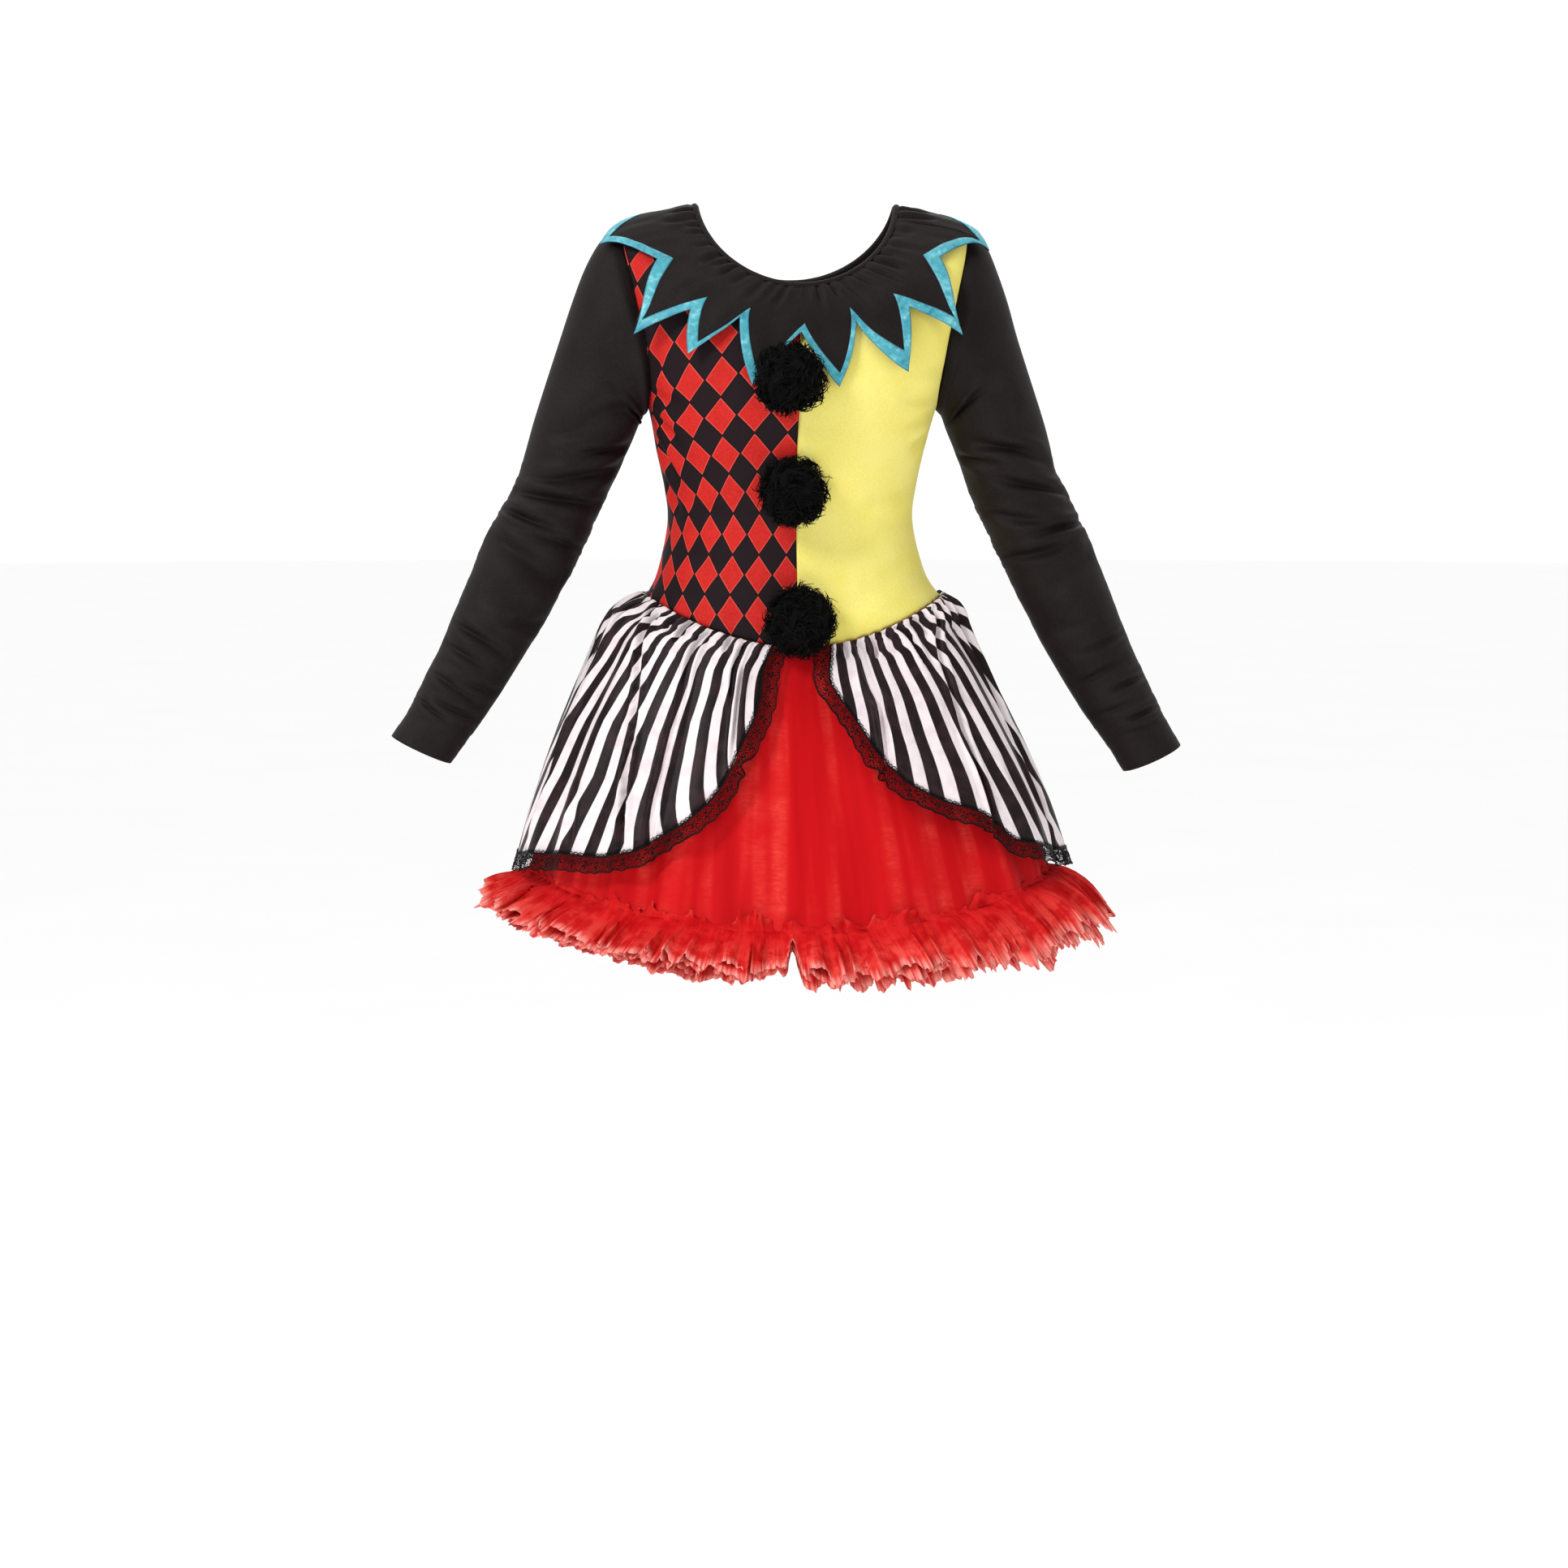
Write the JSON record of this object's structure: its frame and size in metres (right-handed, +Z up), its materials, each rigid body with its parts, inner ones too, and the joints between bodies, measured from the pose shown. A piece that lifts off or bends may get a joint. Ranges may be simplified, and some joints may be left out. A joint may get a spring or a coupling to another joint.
{
  "type": "clown dress",
  "caption": "Long-sleeved clown dress, worn and empty: two-colour bodice, star-point collar with ribbon, pompoms, striped peplum with lace edge, red gathered skirt with frilled hem",
  "frame": {"origin": "midway between the two points where the neckline crosses the shoulders", "axes": "+X is the wearer's left, the front faces -Y, +Z is up"},
  "size_m": [0.865, 0.5896, 0.8262],
  "materials": {
    "black_jersey": "matte black knit",
    "diamond_jersey": "matte knit printed with red and black diamonds",
    "yellow_jersey": "matte yellow knit",
    "blue_ribbon": "satin ribbon",
    "black_fur": "long soft pile",
    "striped_satin": "satin with black and white stripes",
    "black_lace": "open lace",
    "red_net": "sheer net with a slight sheen"
  },
  "bodies": {
    "root": {"bodice_front_left": "yellow_jersey", "bodice_front_right": "diamond_jersey", "bodice_back_left": "yellow_jersey", "bodice_back_right": "diamond_jersey", "sleeve_left": "black_jersey", "sleeve_right": "black_jersey", "collar": "black_jersey", "collar_ribbon": "blue_ribbon", "neck_binding": "black_jersey", "peplum_front_left": "striped_satin", "peplum_front_right": "striped_satin", "peplum_back": "striped_satin", "lace_front_left": "black_lace", "lace_front_right": "black_lace", "lace_back": "black_lace", "skirt_front": "red_net", "skirt_back": "red_net", "frill_lower_front": "red_net", "frill_lower_back": "red_net", "frill_upper_front": "red_net", "frill_upper_back": "red_net", "pompom_top": "black_fur", "pompom_middle": "black_fur", "pompom_bottom": "black_fur"}
  },
  "joints": []
}
